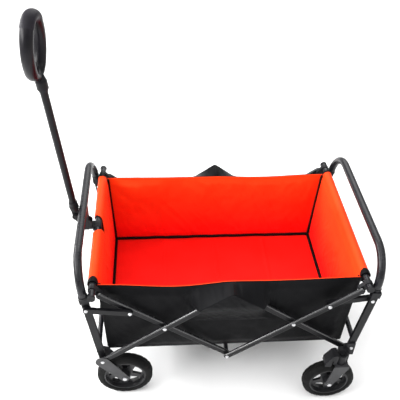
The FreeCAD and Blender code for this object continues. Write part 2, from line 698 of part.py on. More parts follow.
def make_caster(side, sign):
    """A swivel fork with its stem and axle bolt, built about its own swivel axis."""
    name = f"{side}_caster"
    half = size("wheel_width") / 2 + size("wheel_clear")
    thick = size("plate_thick")
    outside = half + thick
    axle = (-size("trail"), size("rear_radius"))
    drop = math.dist((0, CROWN_LOW), axle)
    slope = math.degrees(math.atan2(axle[1] - CROWN_LOW, axle[0]))
    crown = box(name + "_crown", "<crown_length>", str(2 * outside), "<crown_thick>")
    at(crown, -size("crown_length") / 2, -outside, CROWN_LOW)
    pieces = [crown]
    for way in (-1, 1):
        plate = flat_bar(f"{name}_plate_{way + 1}", "0", str(drop), "<caster_top_radius>",
                         "<caster_low_radius>", (), "<plate_thick>")
        pieces.append(at(plate, 0, way * (half + thick / 2), CROWN_LOW, in_plane(slope)))
    rough = fused(name + "_rough", *pieces)
    # the plates' round tops end level with the crown
    lid = box(name + "_lid", str(4 * outside), str(4 * outside), "<caster_top_radius>")
    at(lid, -2 * outside, -2 * outside, CROWN_TOP)
    bore = cylinder(name + "_bore", "<axle_radius> + <rivet_play>", str(4 * outside))
    at(bore, axle[0], -2 * outside, axle[1], ALONG_Y)
    fork = cut(name + "_fork_cut", rough, lid, bore)
    place = Placement(Vector(size("caster_x"), sign * size("caster_y"), 0), Rotation())
    fork.Placement = place
    node(f"{side}_caster_fork", fork)
    stem = cylinder(name + "_stem", "<stem_radius>", f"<housing_top> - {CROWN_TOP} + <stem_head>")
    at(stem, 0, 0, CROWN_TOP)
    washer = cylinder(name + "_washer", "<washer_radius>", "<washer_thick>")
    at(washer, 0, 0, size("housing_top") + size("washer_clear"))
    pins = DOC.addObject("Part::Compound", name + "_pins_group")
    pins.Links = [fused(name + "_stem_pin", stem, washer),
                  make_bolt(name + "_axle", axle, 1, -outside, outside)]
    pins.Placement = place
    node(f"{side}_caster_pins", pins)
    for kind, make in (("tyre", make_tyre), ("hub", make_hub)):
        wheel = make(f"rear_{side}_{kind}", "<rear_radius>")
        wheel.Placement = place * Placement(Vector(axle[0], 0, axle[1]), Rotation())
        node(wheel.Name, wheel)


def make_housing(side, sign):
    """The fixed housing on a rear leg that holds a caster's stem and the brake's hinge."""
    name = f"{side}_caster_housing"
    low = CROWN_TOP + size("housing_clear")
    height = size("housing_top") - low
    x, y = size("caster_x"), size("caster_y")
    boss = cylinder(name + "_boss", "<boss_outer>", str(height))
    at(boss, x, sign * y, low)
    web = box(name + "_web", "<web_length>", str(y - OUT_FACE), str(height))
    at(web, x - size("web_length") / 4, OUT_FACE if sign > 0 else -y, low)
    flange = box(name + "_flange", "<flange_length>", "<flange_thick>",
                 f"{height} + <flange_rise>")
    at(flange, -FOOT[0] - size("flange_length") / 2 - 2,
       OUT_FACE if sign > 0 else -OUT_FACE - size("flange_thick"), low)
    lug = flat_bar(name + "_lug", "0", "<lug_reach>", "<lug_radius>", "<lug_radius> + 1", ("0",),
                   "<lug_width>")
    at(lug, size("pedal_hinge_x"), sign * y, size("pedal_hinge_z"))
    bore = cylinder(name + "_bore", "<stem_radius> + <rivet_play>", str(2 * height))
    at(bore, x, sign * y, low - height / 2)
    return cut(name, fused(name + "_body", boss, web, flange, lug), bore)


def make_brake(side, sign):
    """The foot pedal, hinged in front of the housing, with its shoe over the caster's tyre."""
    name = f"{side}_brake_pedal"
    body = new_body(name + "_plate")
    sketch = new_sketch(body, "XZ_Plane", name + "_profile")
    # the profile about the hinge: the shoe, the step over the hinge lug, and the sloping face
    draw_outline(sketch, [("-30", "-16"), ("-12", "-16"), ("-9", "-8"), ("-9", "14"), ("7", "14"),
                          ("7", "36"), ("-2", "38"), ("-10", "34"), ("-30", "2")])
    pad(body, sketch, "<pedal_width>")
    width = size("cheek_width")
    pieces = [body]
    for way in (-1, 1):
        cheek = box(f"{name}_cheek_{way + 1}", "<cheek_length>", "<cheek_width>", "<cheek_height>")
        edge = size("pedal_width") / 2
        pieces.append(at(cheek, -size("cheek_length") / 2, edge - width if way > 0 else -edge,
                         -size("cheek_low")))
    hinge = cylinder(name + "_hinge_pin", "<rivet_radius>", "<pedal_width>")
    pieces.append(at(hinge, 0, -size("pedal_width") / 2, 0, ALONG_Y))
    pedal = fused(name, *pieces)
    node(name, at(pedal, size("pedal_hinge_x"), sign * size("caster_y"), size("pedal_hinge_z")))


# ---- handle --------------------------------------------------------------------------------

def make_bracket():
    """The handle bracket: a saddle under the hoop's bar, ears for the handle's pivot, and a
    cradle, open upwards, that the front crossbar settles into."""
    hoop_x = FOOT[0] - (size("hoop_top") - FOOT[1]) * math.tan(math.radians(LEAN))
    cx, cz = CROSSBAR
    px, pz = size("handle_x"), size("handle_z")
    width = 2 * (size("ear_gap") + size("ear_thick"))
    post = box("bracket_post", "<post_width>", "2 * (<ear_gap> + <ear_thick>)",
               "<hoop_top> - <arm_z> + <post_low>")
    at(post, hoop_x - size("post_width") / 2, -width / 2, size("arm_z") - size("post_low"))
    start = hoop_x - size("arm_socket")
    arm = cylinder("bracket_arm", "<arm_radius>", str(cx - size("cradle_back") - start + 2))
    at(arm, start, 0, size("arm_z"), ALONG_X)
    cradle = cylinder("bracket_cradle", "<cradle_radius>", "<cradle_back> + <cradle_lip>")
    at(cradle, cx - size("cradle_back"), 0, size("arm_z") - size("cradle_low"), ALONG_X)
    ears = []
    for way in (-1, 1):
        ear = flat_bar(f"bracket_ear_{way + 1}", "0", "<ear_reach>", "<ear_end>", "<ear_root>", (),
                       "<ear_thick>")
        y = way * (size("ear_gap") + size("ear_thick") / 2)
        ears.append(at(ear, px, y, pz, in_plane(-size("ear_drop"))))
    rough = fused("bracket_rough", post, arm, cradle, *ears)
    # everything that is cut away is longer than the bracket is wide
    long = "4 * <cradle_radius>"
    edge = -2 * size("cradle_radius")
    saddle = cylinder("bracket_saddle", "<hoop_radius>", long)
    at(saddle, hoop_x, edge, size("hoop_top"), ALONG_Y)
    over = box("bracket_over", "4 * <hoop_radius>", long, "2 * <hoop_radius>")
    at(over, hoop_x - 2 * size("hoop_radius"), edge, size("hoop_top") - size("hoop_radius") / 3)
    channel = cylinder("bracket_channel", "<rim_radius> + <channel_play>", long)
    at(channel, cx, edge, cz, ALONG_Y)
    mouth = box("bracket_mouth", "2 * (<rim_radius> + <channel_play>)", long, "2 * <rim_radius>")
    at(mouth, cx - size("rim_radius") - size("channel_play"), edge, cz)
    hole = cylinder("bracket_hole", "<axle_radius>", long)
    at(hole, px, edge, pz, ALONG_Y)
    node("handle_bracket", cut("bracket", rough, saddle, over, channel, mouth, hole))


def make_handle():
    lean = 90 + size("handle_lean")
    along = in_plane(lean) * Rotation(Vector(0, 1, 0), 90)
    px, pz = size("handle_x"), size("handle_z")

    def on_pole(thing, up):
        dx, dz = turned((up, 0), lean)
        return at(thing, px + dx, 0, pz + dz, along)

    bolt_half = size("ear_gap") + size("ear_thick")
    bolt = cylinder("pivot_bolt_shank", "<axle_radius>", "2 * (<ear_gap> + <ear_thick>)")
    at(bolt, px, -bolt_half, pz, ALONG_Y)
    heads = []
    for way in (-1, 1):
        head = cylinder(f"pivot_bolt_head_{way + 1}", "2 * <axle_radius>", "<head_thick>")
        y = bolt_half if way > 0 else -bolt_half - size("head_thick")
        heads.append(at(head, px, y, pz, ALONG_Y))
    node("handle_pivot_bolt", fused("pivot_bolt", bolt, *heads))

    tongue = flat_bar("yoke_tongue", "0", "<pole_start>", "<tongue_radius>", "<tongue_radius>", (),
                      "2 * (<ear_gap> - <tongue_play>)")
    at(tongue, px, 0, pz, in_plane(lean))
    collar = cylinder("yoke_collar", "<yoke_radius>", "<yoke_top> - <collar_low>")
    on_pole(collar, size("collar_low"))
    flare = cylinder("yoke_flare", "<yoke_radius> + <flare_wall>", "<flare_height>")
    on_pole(flare, size("flare_up"))
    socket = cylinder("yoke_socket", "<pole_radius>", "<yoke_top>")
    on_pole(socket, size("pole_start"))
    hole = cylinder("yoke_hole", "<axle_radius> + <rivet_play>", "4 * <ear_gap>")
    at(hole, px, -2 * size("ear_gap"), pz, ALONG_Y)
    node("handle_yoke", cut("yoke", fused("yoke_body", tongue, collar, flare), socket, hole))

    outer = tube("outer_pole", "<pole_radius>", "<pole_wall>", "<pole_top> - <pole_start>")
    node("outer_pole", on_pole(outer, size("pole_start")))
    bush = tube("pole_bush", "<pole_radius> + <bush_wall>", "<bush_wall>", "<bush_height>")
    node("pole_bush", on_pole(bush, size("pole_top") - size("bush_height")))
    inner = tube("inner_pole", "<pole_radius> - <pole_wall> - <slide_play>", "<pole_wall>",
                 "<pole_top> + <inner_show> - <inner_start>")
    node("inner_pole", on_pole(inner, size("inner_start")))
    make_ring(on_pole)


def oval(width, height, end):
    """The arcs of an upright oval about the origin of the YZ plane, and its side radius."""
    a, b = width / 2, height / 2 - end
    side = (a * a + b * b - end * end) / (2 * (a - end))
    slope = math.atan2(b, side - a)
    cos, sin = math.cos(slope), math.sin(slope)
    corner = Vector(0, end * cos, b + end * sin)

    def flipped(v, y, z):
        return Vector(0, v.y * y, v.z * z)

    tips = [Vector(0, 0, height / 2), Vector(0, 0, -height / 2)]
    flanks = [Vector(0, a, 0), Vector(0, -a, 0)]
    quarter = [flipped(corner, y, z) for y, z in ((-1, 1), (1, 1), (1, -1), (-1, -1))]
    return [Part.Arc(quarter[0], tips[0], quarter[1]),
            Part.Arc(quarter[1], flanks[0], quarter[2]),
            Part.Arc(quarter[2], tips[1], quarter[3]),
            Part.Arc(quarter[3], flanks[1], quarter[0])]


def swept_oval(arcs, start, deep, thick):
    """An oval section, deep along X and thick in the plane, swept along arcs."""
    path = Part.Wire([arc.toShape() for arc in arcs])
    direction = arcs[0].toShape().tangentAt(arcs[0].toShape().FirstParameter)
    in_ring = direction.cross(Vector(1, 0, 0))
    ellipse = Part.Ellipse(start + Vector(1, 0, 0) * deep / 2, start + in_ring * thick / 2, start)
    profile = Part.Wire([ellipse.toShape()])
    return path.makePipeShell([profile], True, True)


def make_ring(on_pole):
    """The closed oval grip, leaning back from the pole, its neck, and the soft sleeve on top."""
    arcs = oval(size("ring_width"), size("ring_height"), size("ring_end"))
    deep, thick = size("ring_deep"), size("ring_thick")
    start = arcs[0].StartPoint
    skin = 2 * size("sleeve_skin")
    loop = swept_oval(arcs, start, deep, thick)
    cover = swept_oval(arcs[:1], start, deep + skin, thick + skin)
    tilt = Rotation(Vector(0, 1, 0), size("ring_tilt"))
    for shape in (loop, cover):
        shape.Placement = Placement(Vector(size("ring_shift"), 0, 0), tilt)
    pole_end = size("pole_top") - size("ring_centre")
    base = pole_end + size("neck_gap")
    neck = Part.makeCylinder(size("neck_radius"), size("neck_height"), Vector(0, 0, base))
    shoulder = Part.makeCone(size("neck_radius"), size("shoulder_radius"),
                             size("shoulder_height"), Vector(0, 0, base + size("neck_height")))
    bore = Part.makeCylinder(size("pole_radius") - size("pole_wall") - size("slide_play"),
                             size("inner_show"), Vector(0, 0, pole_end))
    ring = DOC.addObject("Part::Feature", "ring_loop")
    ring.Shape = loop.fuse([neck, shoulder]).cut(bore)
    sleeve = DOC.addObject("Part::Feature", "grip_sleeve_skin")
    sleeve.Shape = cover.cut(loop)
    turn = Placement(Vector(), Rotation(Vector(0, 0, 1), size("ring_turn")))
    for name, thing in (("grip_ring", ring), ("grip_sleeve", sleeve)):
        on_pole(thing, size("ring_centre"))
        thing.Placement = thing.Placement * turn
        node(name, thing)


# ---- the wagon -----------------------------------------------------------------------------

make_bars()
make_links()
make_rivets()
make_tie_tube()
for END in ENDS:
    make_hoop(END)
    make_legs(END)
    make_crosspiece(END)
    make_rim(END)
    make_end_wall(END)
make_soft_sides()
make_front_wheels()
HOUSINGS = []
for SIDE, SIGN in SIDES.items():
    make_caster(SIDE, SIGN)
    HOUSINGS.append(make_housing(SIDE, SIGN))
    make_brake(SIDE, SIGN)
node("caster_housings", *HOUSINGS)
make_bracket()
make_handle()
DOC.recompute()

for THING in DOC.Objects:
    if "Invalid" in THING.State or "Error" in THING.State:
        raise RuntimeError(f"{THING.Name} failed: {THING.State}")
os.makedirs("parts", exist_ok=True)
for NAME, PIECE in NODES.items():
    SHAPE = PIECE.Shape
    if SHAPE.isNull() or not SHAPE.isValid() or not SHAPE.Solids:
        raise RuntimeError(f"{NAME} is not a valid solid")
    SHAPE.exportStep(f"parts/{NAME}.step")
print(len(NODES), "sub-parts")
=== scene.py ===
import json
import math

import bmesh
import bpy
from mathutils import Matrix, Vector, noise


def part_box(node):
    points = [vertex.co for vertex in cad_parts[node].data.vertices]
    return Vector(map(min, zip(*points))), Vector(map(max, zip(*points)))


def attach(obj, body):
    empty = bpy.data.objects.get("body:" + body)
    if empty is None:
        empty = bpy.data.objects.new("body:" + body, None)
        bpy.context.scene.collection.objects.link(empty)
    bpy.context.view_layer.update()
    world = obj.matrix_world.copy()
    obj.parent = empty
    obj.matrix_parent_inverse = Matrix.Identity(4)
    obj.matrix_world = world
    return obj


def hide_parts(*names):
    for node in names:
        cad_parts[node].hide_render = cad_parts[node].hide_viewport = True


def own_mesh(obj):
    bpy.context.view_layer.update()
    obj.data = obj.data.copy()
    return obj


# Folding camp wagon, in metres. -X is the handle end ("front"), +X the caster end ("rear"), and
# -Y the left side. Metal and moulded parts are the CAD nodes with new materials. The scissor bars
# and tyres are crisper copies that replace their nodes, and everything sewn is built here.

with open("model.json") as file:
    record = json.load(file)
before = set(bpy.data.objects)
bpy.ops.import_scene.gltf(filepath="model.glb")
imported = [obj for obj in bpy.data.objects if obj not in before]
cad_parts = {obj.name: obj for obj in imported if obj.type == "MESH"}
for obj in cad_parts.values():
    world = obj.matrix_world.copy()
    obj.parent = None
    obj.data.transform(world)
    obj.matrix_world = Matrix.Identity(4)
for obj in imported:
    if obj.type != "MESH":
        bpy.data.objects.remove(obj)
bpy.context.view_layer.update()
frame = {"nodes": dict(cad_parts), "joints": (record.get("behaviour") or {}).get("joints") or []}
NODES = frame["nodes"]
JOINT_AT = {j["name"]: Vector(j["pos_m"]) for j in frame["joints"] if j.get("pos_m")}
SIDES = {"left": -1, "right": 1}
ENDS = {"front": -1, "rear": 1}

# ---- camera -----------------------------------------------------------------------------------

EYE = Vector((-0.2047, -1.427, 1.7727))
YAW, PITCH, ROLL = 0.0891, 0.693, 0.0355
FOCAL_PER_WIDTH = 1.48975
SENSOR_WIDTH = 36


def make_camera():
    data = bpy.data.cameras.new("view")
    data.sensor_width = SENSOR_WIDTH
    data.lens = SENSOR_WIDTH * FOCAL_PER_WIDTH
    camera = bpy.data.objects.new("view", data)
    bpy.context.collection.objects.link(camera)
    ahead = Vector((math.sin(YAW) * math.cos(PITCH), math.cos(YAW) * math.cos(PITCH),
                    -math.sin(PITCH)))
    right = Vector((math.cos(YAW), -math.sin(YAW), 0))
    up = right.cross(ahead)
    across = right * math.cos(ROLL) + up * math.sin(ROLL)
    upward = up * math.cos(ROLL) - right * math.sin(ROLL)
    turn = Matrix((across, upward, -ahead)).transposed().to_4x4()
    camera.matrix_world = Matrix.Translation(EYE) @ turn
    bpy.context.scene.camera = camera


# ---- materials --------------------------------------------------------------------------------

class Shader:
    """A material and short ways to add and join its nodes."""

    def __init__(self, name):
        self.material = bpy.data.materials.new(name)
        self.material.use_nodes = True
        self.tree = self.material.node_tree
        self.surface = self.tree.nodes["Principled BSDF"]
        self.place = self.add("ShaderNodeTexCoord").outputs["Object"]

    def add(self, kind, **values):
        made = self.tree.nodes.new(kind)
        for key, value in values.items():
            setattr(made, key, value)
        return made

    def join(self, source, target):
        self.tree.links.new(source, target)

    def constant(self, **values):
        for key, value in values.items():
            self.surface.inputs[key.replace("_", " ")].default_value = value

    def noise(self, scale, detail=3, stretch=(1, 1, 1)):
        mapping = self.add("ShaderNodeMapping")
        mapping.inputs["Scale"].default_value = stretch
        self.join(self.place, mapping.inputs["Vector"])
        made = self.add("ShaderNodeTexNoise")
        made.inputs["Scale"].default_value = scale
        made.inputs["Detail"].default_value = detail
        self.join(mapping.outputs["Vector"], made.inputs["Vector"])
        return made.outputs["Fac"]

    def bands(self, scale, axis):
        made = self.add("ShaderNodeTexWave", bands_direction=axis)
        made.inputs["Scale"].default_value = scale
        made.inputs["Distortion"].default_value = 0.3
        self.join(self.place, made.inputs["Vector"])
        return made.outputs["Fac"]

    def ramp(self, source, low, high, low_at=0.3, high_at=0.7):
        made = self.add("ShaderNodeValToRGB")
        made.color_ramp.elements[0].position = low_at
        made.color_ramp.elements[0].color = (*low, 1)
        made.color_ramp.elements[1].position = high_at
        made.color_ramp.elements[1].color = (*high, 1)
        self.join(source, made.inputs["Fac"])
        return made.outputs["Color"]

    def between(self, source, low, high):
        made = self.add("ShaderNodeMapRange")
        made.inputs["To Min"].default_value = low
        made.inputs["To Max"].default_value = high
        self.join(source, made.inputs["Value"])
        return made.outputs["Result"]

    def height(self, low, high):
        """A ramp input that goes from 0 to 1 between two heights of the object."""
        split = self.add("ShaderNodeSeparateXYZ")
        self.join(self.place, split.inputs["Vector"])
        made = self.add("ShaderNodeMapRange")
        made.inputs["From Min"].default_value = low
        made.inputs["From Max"].default_value = high
        self.join(split.outputs["Z"], made.inputs["Value"])
        return made.outputs["Result"]

    def mix(self, share, one, two):
        """Colour one where share is 0 and colour two where it is 1."""
        made = self.add("ShaderNodeMix", data_type="RGBA")
        self.join(share, made.inputs["Factor"])
        self.join(one, made.inputs["A"])
        self.join(two, made.inputs["B"])
        return made.outputs["Result"]

    def math(self, operation, one, two):
        made = self.add("ShaderNodeMath", operation=operation)
        for value, socket in ((one, made.inputs[0]), (two, made.inputs[1])):
            if isinstance(value, (int, float)):
                socket.default_value = value
            else:
                self.join(value, socket)
        return made.outputs["Value"]

    def bump(self, height, distance, strength=1.0):
        made = self.add("ShaderNodeBump")
        made.inputs["Strength"].default_value = strength
        made.inputs["Distance"].default_value = distance
        self.join(height, made.inputs["Height"])
        self.join(made.outputs["Normal"], self.surface.inputs["Normal"])

    def colour(self, source):
        self.join(source, self.surface.inputs["Base Color"])

    def roughness(self, source):
        self.join(source, self.surface.inputs["Roughness"])


HANDLING_SCALE = 35
GLOSS_SCALE = 60


def painted(name, dark, light, rough, grain=900, bump=0.00004, shine=0.3):
    """Powder coat or moulded plastic: fine grain, faint handling marks, uneven gloss."""
    made = Shader(name)
    made.colour(made.ramp(made.noise(HANDLING_SCALE, 5), dark, light))
    made.roughness(made.between(made.noise(GLOSS_SCALE, 4), rough - 0.06, rough + 0.1))
    made.bump(made.noise(grain, 2), bump)
    made.constant(Specular_IOR_Level=shine)
    return made


ZINC_DARK, ZINC_LIGHT = (0.52, 0.52, 0.53), (0.78, 0.78, 0.8)


def steel(name, dark=ZINC_DARK, light=ZINC_LIGHT):
    made = painted(name, dark, light, 0.3, 700, 0.00003, 0.5)
    made.constant(Metallic=1.0)
    return made


CROWN_Z = 0.135


def caster_pins(name):
    """Zinc at the axle, black on the swivel stem above it."""
    made = steel(name)
    zinc = made.ramp(made.noise(HANDLING_SCALE, 5), ZINC_DARK, ZINC_LIGHT)
    black = made.ramp(made.noise(HANDLING_SCALE, 5), (0.006, 0.006, 0.007), (0.012, 0.012, 0.013))
    made.colour(made.mix(made.height(CROWN_Z - 0.005, CROWN_Z), zinc, black))
    return made


THREAD = 240.0
# painted shade: the orange cloth is painted redder near the floor, where red light bounced inside
# the basket falls
PAINTED_SHADE_HEIGHTS = (0.24, 0.47)  # the heights between which the red of the floor turns to orange


def woven(name, axes, dark, light, rough, shade_red=None):
    """Coated plain-weave polyester: crossing threads, slubs, soft creases and uneven dye. Where the
    last argument is given, the colour goes from that pair of dark and light at the floor to dark and
    light higher up. This redder low part is painted shade, standing in for red light bounced inside
    the basket."""
    made = Shader(name)
    one, two = (made.bands(THREAD, axis) for axis in axes)
    weave = made.math("MULTIPLY", one, two)
    slubs = made.math("MULTIPLY", made.noise(160, 2, (1, 1, 4)), 0.5)
    cloth = made.math("ADD", weave, slubs)
    cloud = made.noise(9, 4)
    mixed = made.math("ADD", made.math("MULTIPLY", cloud, 0.75), made.math("MULTIPLY", weave, 0.25))
    colour = made.ramp(mixed, dark, light, 0.25, 0.75)
    # painted shade: redder towards the floor, in place of the red light bounced inside the basket
    if shade_red:
        colour = made.mix(made.height(*PAINTED_SHADE_HEIGHTS), made.ramp(mixed, *shade_red, 0.25, 0.75), colour)
    made.colour(colour)
    made.roughness(made.between(made.noise(25, 3), rough - 0.08, rough + 0.08))
    made.bump(cloth, 0.00025, 0.5)
    made.constant(Sheen_Weight=0.015, Sheen_Roughness=0.4, Specular_IOR_Level=0.07)
    return made


ORANGE_DARK, ORANGE_LIGHT = (0.9, 0.050, 0.007), (1.0, 0.074, 0.012)
# the colours of the painted shade that reddens the orange cloth low in the basket
PAINTED_SHADE_RED_DARK, PAINTED_SHADE_RED_LIGHT = (0.78, 0.009, 0.006), (1.0, 0.015, 0.011)
BLACK_DARK, BLACK_LIGHT = (0.002, 0.002, 0.0025), (0.006, 0.006, 0.007)


def make_materials():
    made = {
        "tube": painted("black_powder_coat", (0.008, 0.008, 0.010), (0.015, 0.015, 0.018), 0.26),
        "bar": painted("black_bar_coat", (0.003, 0.003, 0.004), (0.008, 0.008, 0.009), 0.34,
                       bump=0.00001, shine=0.17),
        # the bars' upper edges: the lighter colour is a painted highlight, the full specular level
        # gives real shine
        "bar_edge_highlight": painted("painted_bar_highlight", (0.006, 0.006, 0.007), (0.016, 0.016, 0.018),
                            0.24, bump=0.00001, shine=1.0),
        "pole": painted("black_pole_coat", (0.006, 0.006, 0.007), (0.010, 0.009, 0.011), 0.3,
                        shine=0.15),
        "plate": painted("grey_plate_coat", (0.026, 0.026, 0.028), (0.042, 0.042, 0.045), 0.34),
        "plastic": painted("black_moulding", (0.005, 0.005, 0.006), (0.012, 0.012, 0.014), 0.45,
                           500, 0.00008, 0.2),
        "gloss": painted("gloss_moulding", (0.003, 0.003, 0.004), (0.007, 0.006, 0.009), 0.3,
                         shine=0.2),
        "hub": painted("hub_moulding", (0.008, 0.008, 0.009), (0.018, 0.018, 0.020), 0.32),
        "steel": steel("zinc_plate"),
        "inner": steel("inner_pole_finish", (0.14, 0.14, 0.15), (0.22, 0.22, 0.23)),
        "pins": caster_pins("caster_pin_finish"),
        "tyre": painted("tyre_rubber", (0.004, 0.004, 0.004), (0.009, 0.009, 0.009), 0.6, 420,
                        0.00012, 0.1),
        "grip": painted("grip_rubber", (0.006, 0.005, 0.008), (0.014, 0.012, 0.018), 0.5, 320,
                        0.0004, 0.2),
        "piping": woven("black_piping", ("X", "Z"), (0.003, 0.003, 0.003), (0.007, 0.006, 0.006),
                        0.6),
    }
    for key, axes in (("side", ("X", "Z")), ("end", ("Y", "Z")), ("floor", ("X", "Y"))):
        made["orange_" + key] = woven("orange_" + key, axes, ORANGE_DARK, ORANGE_LIGHT, 0.5,
                                      (PAINTED_SHADE_RED_DARK, PAINTED_SHADE_RED_LIGHT))
        made["black_" + key] = woven("black_" + key, axes, BLACK_DARK, BLACK_LIGHT, 0.5)
    return {key: shader.material for key, shader in made.items()}


MATERIAL = make_materials()

NODE_LOOK = {
    "tube": ("front_hoop", "rear_hoop", "front_crosspiece", "rear_crosspiece", "front_crossbar",
             "rear_crossbar", "bottom_cross_tube"),
    "pole": ("outer_pole", "handle_pivot_bolt"),
    "bar": ("front_links", "rear_links", "front_lower_legs", "rear_lower_legs"),
    "plate": ("front_forks", "left_caster_fork", "right_caster_fork"),
    "plastic": ("front_hoop_collars", "rear_hoop_collars", "front_corner_fittings",
                "rear_corner_fittings", "caster_housings", "left_brake_pedal",
                "right_brake_pedal", "handle_bracket", "handle_yoke", "pole_bush"),
    "gloss": ("grip_ring",),
    "hub": ("front_left_hub", "front_right_hub", "rear_left_hub", "rear_right_hub"),
    "steel": ("front_axle_bolts",),
    "inner": ("inner_pole",),
    "pins": ("left_caster_pins", "right_caster_pins"),
    "grip": ("grip_sleeve",),
}


def dress_nodes():
    """Give every CAD node that stays in view its material."""
    for look, names in NODE_LOOK.items():
        for name in names:
            obj = NODES[name]
            obj.data.materials.clear()
            obj.data.materials.append(MATERIAL[look])
    for name, obj in NODES.items():
        if "rivet" in name:
            obj.data.materials.clear()
            obj.data.materials.append(MATERIAL["steel"])


# ---- meshes -----------------------------------------------------------------------------------

def add_mesh(name, points, faces, look, sharp=None):
    mesh = bpy.data.meshes.new(name)
    mesh.from_pydata([tuple(p) for p in points], [], faces)
    mesh.validate()
    work = bmesh.new()
    work.from_mesh(mesh)
    bmesh.ops.remove_doubles(work, verts=work.verts, dist=1e-6)
    bmesh.ops.recalc_face_normals(work, faces=work.faces)
    work.to_mesh(mesh)
    work.free()
    for face in mesh.polygons:
        face.use_smooth = True
    if sharp:
        mesh.set_sharp_from_angle(angle=math.radians(sharp))
    obj = bpy.data.objects.new(name, mesh)
    bpy.context.collection.objects.link(obj)
    mesh.materials.append(MATERIAL[look])
    return obj


def freeze(obj):
    """Apply an object's modifiers to its mesh."""
    graph = bpy.context.evaluated_depsgraph_get()
    graph.update()
    mesh = bpy.data.meshes.new_from_object(obj.evaluated_get(graph))
    obj.modifiers.clear()
    obj.data = mesh
    return obj


def round_edges(obj, width):
    """Round an object's sharp edges and apply that."""
    bevel = obj.modifiers.new("edge", "BEVEL")
    bevel.width = width
    bevel.segments = 3
    bevel.limit_method = "ANGLE"
    bevel.angle_limit = math.radians(50)
    obj.modifiers.new("shading", "WEIGHTED_NORMAL").keep_sharp = True
    return freeze(obj)


def grid(name, across, up, place, look, thick=0.0, keep=None):
    """A sheet of (across x up) cells. place(u, v) gives a point for u and v from 0 to 1."""
    points = [place(i / across, j / up) for j in range(up + 1) for i in range(across + 1)]
    faces = []
    for j in range(up):
        for i in range(across):
            if keep and not keep((i + 0.5) / across, (j + 0.5) / up):
                continue
            a = j * (across + 1) + i
            faces.append((a, a + 1, a + across + 2, a + across + 1))
    obj = add_mesh(name, points, faces, look)
    if thick:
        shell = obj.modifiers.new("thickness", "SOLIDIFY")
        shell.thickness = thick
        shell.offset = 0
        freeze(obj)
    return obj


def tube_along(name, points, radius, look):
    """A closed round tube along points."""
    curve = bpy.data.curves.new(name, "CURVE")
    curve.dimensions = "3D"
    curve.bevel_depth = radius
    curve.bevel_resolution = 5
    curve.use_fill_caps = True
    spline = curve.splines.new("POLY")
    spline.points.add(len(points) - 1)
    for target, point in zip(spline.points, points):
        target.co = (*point, 1)
    obj = bpy.data.objects.new(name, curve)
    bpy.context.collection.objects.link(obj)
    graph = bpy.context.evaluated_depsgraph_get()
    graph.update()
    mesh = bpy.data.meshes.new_from_object(obj.evaluated_get(graph))
    made = bpy.data.objects.new(name, mesh)
    bpy.data.objects.remove(obj)
    bpy.context.collection.objects.link(made)
    made.name = name
    for face in mesh.polygons:
        face.use_smooth = True
    mesh.materials.clear()
    mesh.materials.append(MATERIAL[look])
    return made


def ease(t):
    t = min(max(t, 0.0), 1.0)
    return t * t * (3 - 2 * t)


def crease(x, z, seed, scale=1.0):
    """Soft cloth relief, about -1 to 1: broad swells, then long slanting creases."""
    broad = noise.noise(Vector((x * 7 * scale, z * 9 * scale, seed)))
    slant = noise.noise(Vector(((x + 0.7 * z) * 24 * scale, (z - 0.4 * x) * 7 * scale, seed + 3)))
    fine = noise.noise(Vector((x * 55 * scale, z * 40 * scale, seed + 7)))
    return broad + 0.33 * (1 - 2 * abs(slant)) + 0.2 * fine


def open_cloth(u, v):
    """Nothing at a panel's sewn edges, one in the open cloth."""
    return ease(min(u, 1 - u) / 0.06) * ease(v / 0.12) * ease((1 - v) / 0.12)


def prism(name, near, far, look, soften):
    """A solid between two matching outlines, its edges rounded."""
    count = len(near)
    faces = [tuple(range(count)), tuple(range(count, 2 * count))[::-1]]
    faces += [(i, (i + 1) % count, count + (i + 1) % count, count + i) for i in range(count)]
    return round_edges(add_mesh(name, near + far, faces, look, 35), soften)


def ring_faces(rows, steps):
    """The faces between successive rings of points, each ring closed on itself."""
    return [(row * steps + s, row * steps + (s + 1) % steps,
             (row + 1) * steps + (s + 1) % steps, (row + 1) * steps + s)
            for row in range(rows - 1) for s in range(steps)]


# ---- crisp flat bars ---------------------------------------------------------------------------

def stadium(name, start, end, start_radius, end_radius, y, thick, look, soften):
    """A flat bar with round ends between two points of the XZ plane, its edges rounded."""
    line = Vector((end.x - start.x, end.z - start.z))
    length = line.length
    heading = math.atan2(line.y, line.x)
    slant = math.acos((start_radius - end_radius) / length)
    steps = 14
    outline = []
    for centre, radius, first, last in ((end, end_radius, -slant, slant),
                                        (start, start_radius, slant, 2 * math.pi - slant)):
        for step in range(steps + 1):
            a = heading + first + (last - first) * step / steps
            outline.append((centre.x + radius * math.cos(a), centre.z + radius * math.sin(a)))
    near, far = ([Vector((x, y + out, z)) for x, z in outline] for out in (-thick / 2, thick / 2))
    return prism(name, near, far, look, soften)


BAR_WIDTH = 0.020
BAR_THICK = 0.010
EDGE_ROUND = 0.0034


def mid_y(node):
    """The middle of a node's thickness along Y."""
    low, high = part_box(node)
    return (low[1] + high[1]) / 2


def rear_of(point):
    return Vector((-point.x, point.y, point.z))


def paint_edge_highlights(bar):
    """Give a bar's upper-edge faces a lighter colour, which is a painted highlight, and a much
    higher specular level.
    """
    bar.data.materials.append(MATERIAL["bar_edge_highlight"])
    for face in bar.data.polygons:
        if abs(face.normal.y) < 0.97 and face.normal.z > 0.2:
            face.material_index = 1


